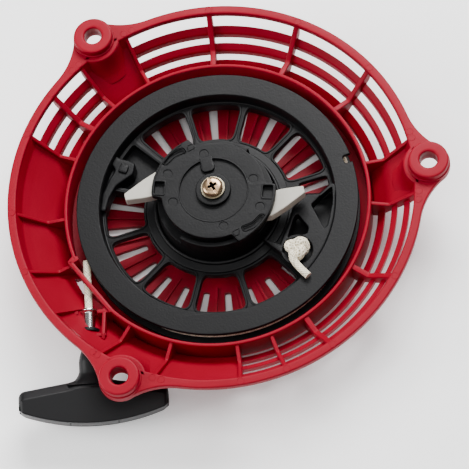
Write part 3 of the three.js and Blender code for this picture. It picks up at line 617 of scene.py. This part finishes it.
# The raised seat round the rope's knot, with two cored-out pockets either side of a branching rib.
seat_outline = np.concatenate([arc(54.9, -44.6, 5.5), [(51.4, 4.4), (47.2, 1.0), (41.0, 1.4), (34.4, -5.2),
                                                     (31.8, -13), (27.8, -22.4)], [polar(28.4, -44.6)]])
rim_pocket = rounded([(43.2, -4.9), (47.6, -0.7), (51.3, 2.6), (53.3, 4.4), (54.1, 3.2), (52.5, -5.3),
                      (49.9, -15.7), (48.5, -17.0)], 0.8)
rib_pocket = rounded([(36.4, -8.8), (41.3, -15.9), (40.4, -19.0), (36.4, -19.4), (31.6, -20.6),
                      (34.6, -11.5)], 1.0)
knot_centre = polar(44.6, 323.4)
knot_seat = plate(seat_outline, web_high - 0.6, 22.7, [rim_pocket, rib_pocket, circle(6.7, 40, knot_centre)],
                  edge=1.6, steps=6, hole_edge=0.6)

hub_r, deck_high, hub_high, cup_low = 26.8, 27, 33, 5
hub_section = rounded([(6.9, 24), (23.9, 24), (24.1, 18.9), (26.7, 18), (26.7, cup_low), (29.6, cup_low),
                       (29.6, 15), (28.6, 17.9), (27.4, 18.6), (hub_r, deck_high), (6.9, deck_high)], 0.5, 3)
hub = turned(hub_section, step=3)
hub_bead = turned(rounded([(27.4, 18.3), (29.6, 18.3), (29.3, 19.7), (28, 19.9)], 0.5), step=3)
hub_wall_section = rounded([(24.4, 26.5), (hub_r, 26.5), (hub_r - 0.2, hub_high), (24.4, hub_high)], 0.5)
hub_walls = [turned(hub_wall_section, start, start + 83) for start in (52, 232)]
collar = turned(rounded([(6.9, 17.95), (8.6, 17.95), (8.6, 32.6), (6.9, 32.6)], 0.4), step=6)
deck_ribs = [placed(plate(rounded([(8, -1), (24, -1), (24, 1), (8, 1)], 0.3), 18.2, 24.5), 60 * k + 15)
             for k in range(6)]
pawl_pivot = np.array([18.9, -9.2])
pins = [placed(spun([(2.4, 26.5), (2.4, 32.4), (2.0, 32.8)], 24), turn=turn, to=(*(pawl_pivot * sign), 0))
        for turn, sign in ((0, 1), (180, -1))]

pulley_parts = [rim, drum, web, *window_beads, hub_foot, pocket_frame, pocket_bed, lever, lever_step,
                seat_bed, seat_walls, knot_seat, hub, hub_bead, *hub_walls, collar, *deck_ribs, *pins]
piece("pulley_moulding", pulley_parts, charcoal_nylon, "pulley", ["pulley"])


# ---- pawl springs and friction spring ----
# Round spring wire. Two small coils fold the pawls back in, and a wide one under the guide gives it its
# drag.

def tube(path, radius, count=12, swell=None):
    """A round section carried along a path. swell multiplies the radius at each station and angle."""
    path = np.array(path, float)
    ahead = np.gradient(path, axis=0)
    ahead /= np.linalg.norm(ahead, axis=1, keepdims=True)
    side = np.cross(ahead, (0, 0, 1))
    side /= np.linalg.norm(side, axis=1, keepdims=True)
    lift = np.cross(side, ahead)
    angle = np.linspace(0, 2 * np.pi, count, endpoint=False)
    reach = radius * np.ones((len(path), count)) if swell is None else radius * swell
    ring = side[:, None] * np.cos(angle)[:, None] + lift[:, None] * np.sin(angle)[:, None]
    return carried(path[:, None] + reach[..., None] * ring)


def coil(radius, turns, low, high, per_turn=48):
    """A helix: the angle runs evenly while the height rises."""
    t = np.linspace(0, 1, math.ceil(turns * per_turn))
    return np.column_stack([polar(radius, 360 * turns * t), low + (high - low) * t])


for side_name, turn in (("right", 0), ("left", 180)):
    spring = placed(tube(coil(3.6, 2, 27.65, 29.1), 0.3), to=(*pawl_pivot, 0))
    piece(f"pawl_spring_wire_{side_name}", [placed(spring, turn)], blue_steel, "pulley",
          [f"pawl_spring_{side_name}"])
piece("friction_spring_wire", [tube(coil(10, 2.5, 28, 32.4), 0.6)], blue_steel, "pulley",
      ["friction_spring"])


# ---- pawls: the two teeth that catch the engine's cup ----
# Ivory acetal mouldings, 5.5 mm thick, each turning on a pin of the pulley's hub.

ivory_acetal = moulded_plastic("ivory_acetal_moulded", "#B4B1A8", "#A5A196", roughness=0.42, clouds=4)
pawl_heel = arc(5.7, -52, -232, 12, pawl_pivot)
pawl_outline = rounded([(40.6, 0.2), (41.3, -3.2), (31.6, -10), (25.4, -13.6), *pawl_heel,
                        (22, -3.2), (28.2, -0.6)], [0.7, 0.7, 1.5, 0.8, *[0] * len(pawl_heel), 0.5, 4])
pawl = plate(pawl_outline, 27.5, 33, [circle(2.75, 24, pawl_pivot)], edge=0.55, steps=4)
for side_name, turn in (("right", 0), ("left", 180)):
    piece(f"pawl_tooth_{side_name}", [placed(pawl, turn)], ivory_acetal, f"pawl_{side_name}",
          [f"pawl_{side_name}"])


# ---- ratchet guide: the dished disc that throws the pawls ----
# Charcoal nylon. Its two wings reach over the pawls, and its collar takes the screw and the washer.

guide_low, guide_high = 33.45, 36.6
wing_r, guide_r, dish_r = 28.3, 23.8, 15.6
guide_arcs = [arc(wing_r, 112, 181), arc(guide_r, 184.5, 288.5), arc(wing_r, 292, 361),
              arc(guide_r, 4.5, 108.5)]
guide_reach = np.concatenate([[0.9, *[0] * (len(run) - 2), 0.9] for run in guide_arcs])
guide_outline = rounded(np.concatenate(guide_arcs), guide_reach)
ear_turns = [-7, 173]


def turned_outline(outline, turn):
    """An outline turned about the origin by that many degrees."""
    c, s = math.cos(math.radians(turn)), math.sin(math.radians(turn))
    return np.array(outline) @ np.array([[c, s], [-s, c]])


catch_hole = rounded([(22.5, -3.1), (27.1, -3.1), (27.1, 3.1), (22.5, 3.1)], 0.8)
catch_rim = rounded([(21.8, -3.8), (27.7, -3.8), (27.7, 3.8), (21.8, 3.8)], 1.1)
lens = rounded([polar(22.8, 301), polar(24.6, 314), polar(25.2, 327), polar(27.5, 327), polar(27.6, 314),
                polar(26.0, 301)], 1.2)
bore = circle(2.9, 32)
catch_holes = [turned_outline(catch_hole, turn) for turn in ear_turns]
recesses = [turned_outline(drawn_in(lens, 0.3), turn) for turn in (0, 180)]
mark_places = [(18.7, 101.4), (22.8, 154.8), (19.2, 193.7), (18.7, 282.2), (23.1, 334), (18.7, 12)]
mark_holes = [circle(2.1, 28, polar(radius, angle)) for radius, angle in mark_places]
guide_bed = plate(guide_outline, guide_low, 34.5, [bore], edge=0.3)
guide_middle = plate(guide_outline, 34.2, 35.5, [bore, *catch_holes], edge=0.05)
guide_top = plate(guide_outline, 35.0, guide_high, [circle(dish_r, 90), *catch_holes, *recesses, *mark_holes],
                  edge=0.35, hole_edge=0.25)
catch_rims = [plate(turned_outline(catch_rim, turn), 36.2, 36.95, [hole], edge=0.2)
              for turn, hole in zip(ear_turns, catch_holes)]
guide_collar = turned(rounded([(2.9, 34), (8, 34), (8, 37.6), (2.9, 37.6)], 0.6), step=4)
tongue_angle = 100.5
tongue_outline = [(9.4, -1.9), (10.6, -3.0), (12.8, -3.3), (14.4, -2.7), (16.9, -3.3),
                  (16.9, 3.3), (14.4, 2.7), (12.8, 3.3), (10.6, 3.0), (9.4, 1.9)]
tongue = placed(plate(rounded(tongue_outline, 0.8), 35.1, 37.0, edge=0.5), tongue_angle)
mark_section = [(2.0, 35.2), (2.2, 35.2), (2.2, 36.15), (2.0, 36.25)]
guide_lip = turned(rounded([(15.5, 36.2), (16.1, 36.2), (16.1, 36.85), (15.5, 36.85)], 0.2), step=3)
lens_rims = [rim_bead(turned_outline(lens, turn), 0.55, 36.2, 36.95) for turn in (0, 180)]
tab = rounded([polar(22.6, 288), polar(22.6, 299), polar(25.8, 295), polar(25.6, 289)], 0.6)
tab_rims = [rim_bead(turned_outline(tab, turn), 0.6, 35.4, 36.9) for turn in (1, 181)]
wing_edge_section = rounded([(27.3, 36.2), (28.1, 36.2), (28.1, 36.9), (27.3, 36.9)], 0.25)
wing_edges = [turned(wing_edge_section, start, start + 50, 3) for start in (120, 300)]
guide_marks = [placed(spun(mark_section, 28), to=(*polar(radius, angle), 0)) for radius, angle in mark_places]
guide_parts = [guide_bed, guide_middle, guide_top, *catch_rims, guide_collar, guide_lip, *wing_edges,
               *lens_rims, *tab_rims, tongue, *guide_marks]
piece("ratchet_guide_moulding", guide_parts, charcoal_nylon, "guide", ["ratchet_guide"])


# ---- centre washer and screw: they hold the guide down on the post ----
# A plain zinc-plated washer, and a pan-head screw with a cross recess in yellow zinc.

washer = turned(rounded([(2.85, 37.95), (5.5, 37.95), (5.5, 38.95), (2.85, 38.95)], 0.25), step=5)
piece("zinc_washer", [washer], turned_metal("bright_zinc_steel", "#8F8672", 0.3), "root",
      ["centre_washer"])

head_r, head_low, head_rise = 4.7, 39.9, 1.6
slot_half_width, slot_floor = 0.62, 40.8
cross_half_width, cross_reach, cross_floor = 0.66, 2.2, 39.6
cross_turn = 0.42


def screw_crown():
    """The head as rings about the axis. Its height falls as the root of 1 - (r / head_r)^4. The slot cuts it
    down to a flat floor, and the cross deeper still, each with a short slope beside its edge. The cross is
    painted near black, a painted shade in its recess, whose amount at each point comes second."""
    radius = np.concatenate([np.linspace(0.02, 4.4, 70), [4.5, 4.6, 4.66, head_r]])[:, None]
    angle = np.radians(np.arange(0, 360, 2.0))[None, :]
    along, across = radius * np.cos(angle - cross_turn), radius * np.sin(angle - cross_turn)
    height = head_low + head_rise * np.sqrt(1 - (radius / head_r) ** 4) + 0 * angle
    slot = np.clip((slot_half_width - np.abs(along)) / 0.12, 0, 1)
    height -= slot * np.clip(height - slot_floor, 0, None)
    near, far = np.minimum(np.abs(along), np.abs(across)), np.maximum(np.abs(along), np.abs(across))
    outside = np.maximum(near - cross_half_width, far - cross_reach)
    deep = np.clip(-outside / 0.3, 0, 1)
    height -= deep * np.clip(height - cross_floor, 0, None)
    rings = np.stack([radius * np.cos(angle), radius * np.sin(angle), height], -1)
    under = [np.column_stack([r * np.cos(angle[0]), r * np.sin(angle[0]), np.full(angle.size, z)])
             for r, z in ((head_r, 39.5), (4.5, 39.3), (0.02, 39.3))]
    return carried(np.concatenate([rings, under])), np.clip(deep * 2, 0, 1).ravel()


screw_shank = spun([(2.2, 16), (2.5, 16.3), (2.5, 39.5)], 32)
crown_part, crown_recess_shade = screw_crown()
# The painted shade of the cross recess rides on the mesh as a value for the material.
screw_recess_shade = np.zeros(len(crown_part[0]) + len(screw_shank[0]))
screw_recess_shade[:len(crown_recess_shade)] = crown_recess_shade
piece("yellow_zinc_screw", [crown_part, screw_shank],
      turned_metal("yellow_zinc_steel", "#A68A6C", 0.26, shade_recess=True), "root",
      ["centre_screw"], values={"recess_shade": screw_recess_shade})


# ---- rope: 3.5 mm braided polyester ----
# Strands plaited over each other, cream with a dark tracer. It is knotted in the pulley, lies in the groove
# in four turns, two inside and two over them, and runs straight out through the eyelet to the grip.

rope_r, strands = 1.75, 4


def plaited(path, radius=rope_r, count=32, relief=0.09):
    """A braided rope along a path. Two families of strands wind opposite ways at 45 degrees. Each is a ridge
    abs(cos(strands * angle +- strands * length / radius)), and where they cross, the higher one is on top."""
    path = np.array(path, float)
    length = np.concatenate([[0], np.cumsum(np.linalg.norm(np.diff(path, axis=0), axis=1))])[:, None]
    angle = np.linspace(0, 2 * np.pi, count, endpoint=False)[None, :]
    wind = length / rope_r
    over, under = np.cos(strands * (angle + wind)), np.cos(strands * (angle - wind))
    lead = 0.5 + 0.5 * np.sign(np.sin(strands * angle) * np.sin(strands * wind))
    height = np.maximum(np.abs(over) * (0.8 + 0.2 * lead), np.abs(under) * (1 - 0.2 * lead))
    tracer = (np.cos(angle + wind) > 0.93) * (np.abs(over) > 0.5) + (np.cos(angle - wind + 2) > 0.95)
    part = tube(path, radius, count, 1 - relief + relief * height)
    return part, {"plait": height.ravel(), "tracer": np.clip(tracer, 0, 1).ravel().astype(float)}


def smooth_path(points, spacing):
    """A Catmull-Rom curve through the points, sampled about every spacing millimetres."""
    points = np.array(points, float)
    padded = np.concatenate([[2 * points[0] - points[1]], points, [2 * points[-1] - points[-2]]])
    spans = []
    for a, b, c, d in zip(padded, padded[1:], padded[2:], padded[3:]):
        t = np.linspace(0, 1, max(2, math.ceil(np.linalg.norm(c - b) / spacing)), endpoint=False)[:, None]
        spans.append(0.5 * (2 * b + (c - a) * t + (2 * a - 5 * b + 4 * c - d) * t ** 2
                            + (3 * b - a - 3 * c + d) * t ** 3))
    return np.concatenate([*spans, points[-1:]])


def braided_polyester():
    """Woven polyester rope: matt, lighter on the crown of each strand and darker between them, painted shade
    in the creases, with dark tracer strands. It reads how high the plait stands at each point."""
    material, tree = blank_material("braided_polyester")
    plait = add_node(tree, "Attribute", attribute_name="plait").outputs["Fac"]
    tracer = add_node(tree, "Attribute", attribute_name="tracer").outputs["Fac"]
    place = add_node(tree, "TexCoord").outputs["Object"]
    fibre = add_node(tree, "TexNoise", {"Vector": place, "Scale": 1 / (0.5 * MM), "Detail": 3.0})
    # Painted shade: cream on each strand's crown, darkening to tan in the creases between strands, by the
    # plait's height.
    crown = add_node(tree, "MapRange", {"Value": plait, "From Min": 0.35, "From Max": 0.8})
    tone = add_node(tree, "Mix", {"Factor": crown.outputs["Result"], "A": linear("#94855F"),
                                  "B": linear("#F8EFD8")}, data_type="RGBA")
    dust = add_node(tree, "Math", {0: fibre.outputs["Fac"], 1: 0.35}, operation="MULTIPLY")
    worn = add_node(tree, "Mix", {"Factor": dust.outputs["Value"], "A": tone.outputs["Result"],
                                  "B": linear("#CFC2A4")}, data_type="RGBA")
    share = add_node(tree, "Math", {0: tracer, 1: 0.3}, operation="MULTIPLY")
    marked = add_node(tree, "Mix", {"Factor": share.outputs["Value"], "A": worn.outputs["Result"],
                                    "B": linear("#4A4238")}, data_type="RGBA")
    fuzz = add_node(tree, "Bump", {"Height": fibre.outputs["Fac"], "Strength": 0.5, "Distance": 0.08 * MM})
    shader = add_node(tree, "BsdfPrincipled", {
        "Base Color": marked.outputs["Result"], "Roughness": 0.85, "Specular IOR Level": 0.25,
        "Sheen Weight": 0.3, "Sheen Roughness": 0.5, "Normal": fuzz.outputs["Normal"]})
    return finished(material, shader)


rope_finish = braided_polyester()
lay_r, lay_step, coil_turns, coil_start = 61.4, 3.3, 4, 183
wound = np.linspace(0, 1, 2600)
step_out = np.clip((wound - 0.49) / 0.06, 0, 1)
coil_r = lay_r - lay_step * (1 - step_out) ** 2 * (1 + 2 * step_out)
coil_z = 14.8 + 3.7 * (0.5 - 0.5 * np.cos(np.pi * wound * coil_turns))
coil_path = np.column_stack([polar(coil_r, coil_start + 360 * coil_turns * wound), coil_z])
coil_part, coil_values = plaited(coil_path, count=16, relief=0.06)
piece("rope_turns", [coil_part], rope_finish, "pulley", ["rope_coil"], values=coil_values)

knot_x, knot_y = knot_centre
around_knot = np.linspace(0, 2 * np.pi, 700, endpoint=False) + 0.6
lump_path = np.column_stack([
    knot_x + 1.22 * (np.sin(around_knot) + 2 * np.sin(2 * around_knot)),
    knot_y + 1.22 * (np.cos(around_knot) - 2 * np.cos(2 * around_knot)), 24 - 1.5 * np.sin(3 * around_knot)])
lump_part, lump_values = plaited(lump_path, radius=2.45, count=56, relief=0.2)
tail_path = smooth_path([(knot_x - 1, knot_y + 1, 24.6), (knot_x - 2.2, knot_y - 3.4, 25.8),
                         (knot_x - 1.6, knot_y - 6.4, 25.6), (knot_x + 0.8, knot_y - 10, 25.2),
                         (knot_x + 4.4, knot_y - 14.2, 25.1)], 0.12)
tail_part, tail_values = plaited(tail_path, count=56, relief=0.2)
knot_values = {label: np.concatenate([lump_values[label], tail_values[label]]) for label in lump_values}
piece("stopper_knot", [lump_part, tail_part], rope_finish, "pulley", ["rope_knot"],
      values=knot_values)

handle_x, handle_y, handle_twist, handle_droop = -59.8, -65.6, 8.0, 13.0
rope_end = -20.6


def grip_axis(depth):
    """A point on the grip's axis, at that distance below its top: it leans towards the bench by the droop."""
    lean = math.radians(handle_droop)
    return handle_x, handle_y - depth * math.cos(lean), rope_z - depth * math.sin(lean)


run_path = smooth_path([(-61.2, -22.6, rope_z), (-60.9, -34, rope_z), (eyelet_x, -47, rope_z),
                        (eyelet_x, -59.5, rope_z), grip_axis(0.5), grip_axis(6), grip_axis(13),
                        grip_axis(-rope_end)], 0.3)
run_part, run_values = plaited(run_path, count=48, relief=0.18)
rope_run = piece("rope_to_grip", [run_part], rope_finish, None, ["rope_run"],
                 values=run_values)
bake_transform(rope_run)


# ---- eyelet and bush: the rope's polished way out ----
# A flanged steel sleeve, nickel-plated so that the rope doesn't chafe, in a black moulded bush.

def along_rope(part):
    """A part made about z, laid along the rope's line: its height runs towards the grip."""
    points, faces = part
    return points[:, [0, 2, 1]] * np.array([1, -1, 1]) + np.array([eyelet_x, 0, rope_z]), faces


eyelet_section = rounded([(2.1, 47.0), (3.9, 47.0), (3.9, 47.9), (3.0, 48.6), (2.9, 62), (2.1, 62)],
                         [0.5, 0.4, 0.4, 0.4, 0.2, 0.2])
piece("nickel_eyelet", [along_rope(turned(eyelet_section, step=8))],
      turned_metal("polished_nickel", "#D6D4D0", 0.14), "root", ["rope_eyelet"])
black_nylon = moulded_plastic("black_nylon_moulded", "#08070A", "#050506", roughness=0.45, shine=0.2)
bush_section = rounded([(3.2, 56.6), (5.0, 56.6), (5.0, 58.1), (3.6, 58.1), (3.6, 61.4), (3.2, 61.4)], 0.2, 3)
piece("moulded_bush", [along_rope(turned(bush_section, step=8))], black_nylon, "root",
      ["eyelet_bush"])


# ---- grip: the T handle ----
# Black nylon moulding with a flared stem. The rope passes up the stem to a knot behind the cap in its
# belly.

bar_half, bar_depth, stem_r = 33.6, 7.5, 5.9
bar_top_y, belly_drop, belly_r = -18.4, 15.8, 90


def on_handle(part):
    """A part in the grip's own frame (x across, y along the rope, z deep), turned about the rope by the
    twist, then about x by the droop, and moved."""
    points, faces = part
    c, s = math.cos(math.radians(handle_twist)), math.sin(math.radians(handle_twist))
    points = points @ np.array([[c, 0, -s], [0, 1, 0], [s, 0, c]])
    c, s = math.cos(math.radians(handle_droop)), math.sin(math.radians(handle_droop))
    drooped = points @ np.array([[1, 0, 0], [0, c, s], [0, -s, c]])
    return drooped + np.array([handle_x, handle_y, rope_z]), faces


def grip_depth(y):
    """Half the grip's depth: the stem's radius above, growing evenly to the bar's below."""
    return stem_r + (bar_depth - stem_r) * np.clip((bar_top_y + 7 - y) / 7, 0, 1)


end_round = 2.6
bevel_depth, bevel_fall = 4.6, 4.2
t = np.linspace(0, np.pi / 2, 6)
end_x, end_inset = bar_half - end_round * (1 - np.sin(t)), end_round * (1 - np.cos(t))
middle_x = np.linspace(-bar_half + end_round, bar_half - end_round, 41)[1:-1]
bar_x = np.concatenate([-end_x[::-1], middle_x, end_x])
bar_inset = np.concatenate([end_inset[::-1], np.zeros(len(middle_x)), end_inset])
reach_x = np.abs(bar_x)
top_line = np.interp(reach_x, [0, 7, 11, 31.5, bar_half], [-14.1, -14.1, -15.2, -18.1, -18.6])
belly_line = bar_top_y - belly_drop + belly_r - np.sqrt(belly_r ** 2 - bar_x ** 2)
sections = []
for x, inset, top, bottom in zip(bar_x, bar_inset, top_line, belly_line):
    outline = rounded([(top, -bevel_depth), (top, bevel_depth), (top - bevel_fall, bar_depth),
                       (bottom, bar_depth), (bottom, -bar_depth), (top - bevel_fall, -bar_depth)],
                      [1.4, 1.4, 0.5, 0.7, 0.7, 0.5], 5)
    if signed_area(outline) < 0:
        outline = outline[::-1]
    outline = drawn_in(outline, inset)
    sections.append(np.column_stack([np.full(len(outline), x), outline]))
bar = carried(np.array(sections))

flare_start, flare_depth, flare_reach = -9, 7.5, 9.0
stem_y = np.linspace(-0.8, flare_start - flare_depth, 36)
rise = np.clip((flare_start - stem_y) / flare_depth, 0, 1)
nose = 1 - 0.29 * np.clip(1 + stem_y / 6, 0, 1) ** 1.5
stem_width = stem_r * nose + flare_reach * (1 - np.sqrt(1 - rise ** 2))
stem_thick = grip_depth(stem_y) * nose
stem_angle = np.radians(np.arange(0, 360, 7.5))
squareness = 2 / 2.5


def stem_ring(width, thick, y):
    """A superellipse: each of cos and sin is raised to the power 0.8 and keeps its sign."""
    c, s = np.cos(stem_angle), np.sin(stem_angle)
    return np.column_stack([width * np.sign(c) * np.abs(c) ** squareness, np.full(len(c), y),
                            thick * np.sign(s) * np.abs(s) ** squareness])


mouth = [(2.2, -8), (2.2, -0.6), (2.8, 0), (3.6, 0), (4.1, -0.25)]
stem_rings = [stem_ring(radius, radius, y) for radius, y in mouth]
stem_rings += [stem_ring(width, thick, y) for width, thick, y in zip(stem_width, stem_thick, stem_y)]
stem = carried(np.array(stem_rings))
grip = piece("t_grip_moulding", [on_handle(bar), on_handle(stem)], black_nylon, "handle",
             ["handle_grip"])


def hollowed(target, part):
    """That closed part cut out of the object by an exact boolean, whose result is kept as its mesh."""
    tool = piece("cutter", [part], black_nylon, "handle")
    cut = target.modifiers.new("hollow", "BOOLEAN")
    cut.operation, cut.solver, cut.use_self, cut.object = "DIFFERENCE", "EXACT", True, tool
    target.modifiers.move(1, 0)
    graph = bpy.context.evaluated_depsgraph_get()
    mesh = bpy.data.meshes.new_from_object(target.evaluated_get(graph))
    target.modifiers.remove(cut)
    target.data = mesh
    bpy.data.objects.remove(tool)


cavity_half, cavity_depth = 11, 5.5
cavity_outline = [(-cavity_half, -20.5), (cavity_half, -20.5), (cavity_half, -40), (-cavity_half, -40)]
hollowed(grip, on_handle(plate(rounded(cavity_outline, 0.6), -cavity_depth, cavity_depth, edge=0.4)))

cap_half, cap_depth, cap_top = 10.65, 5.15, -30.2
belly_angles = 270 + np.degrees(np.arcsin(cap_half / belly_r)) * np.linspace(-1, 1, 13)
cap_outline = np.concatenate([polar(belly_r, belly_angles) + [0, bar_top_y - belly_drop + belly_r],
                              [(cap_half, cap_top), (-cap_half, cap_top)]])
piece("grip_cap", [on_handle(plate(cap_outline, -cap_depth, cap_depth, edge=0.5))], black_nylon, "handle",
      ["handle_cap"])

end_knot_y = rope_end - 4.4 - 0.35
end_lump = np.column_stack([0.98 * (np.sin(around_knot) + 2 * np.sin(2 * around_knot)),
                            end_knot_y - 1.3 * np.sin(3 * around_knot),
                            0.98 * (np.cos(around_knot) - 2 * np.cos(2 * around_knot))])
end_part, end_values = plaited(end_lump, radius=1.4, count=20)
piece("end_knot", [on_handle(end_part)], rope_finish, "handle", ["handle_knot"],
      values=end_values)
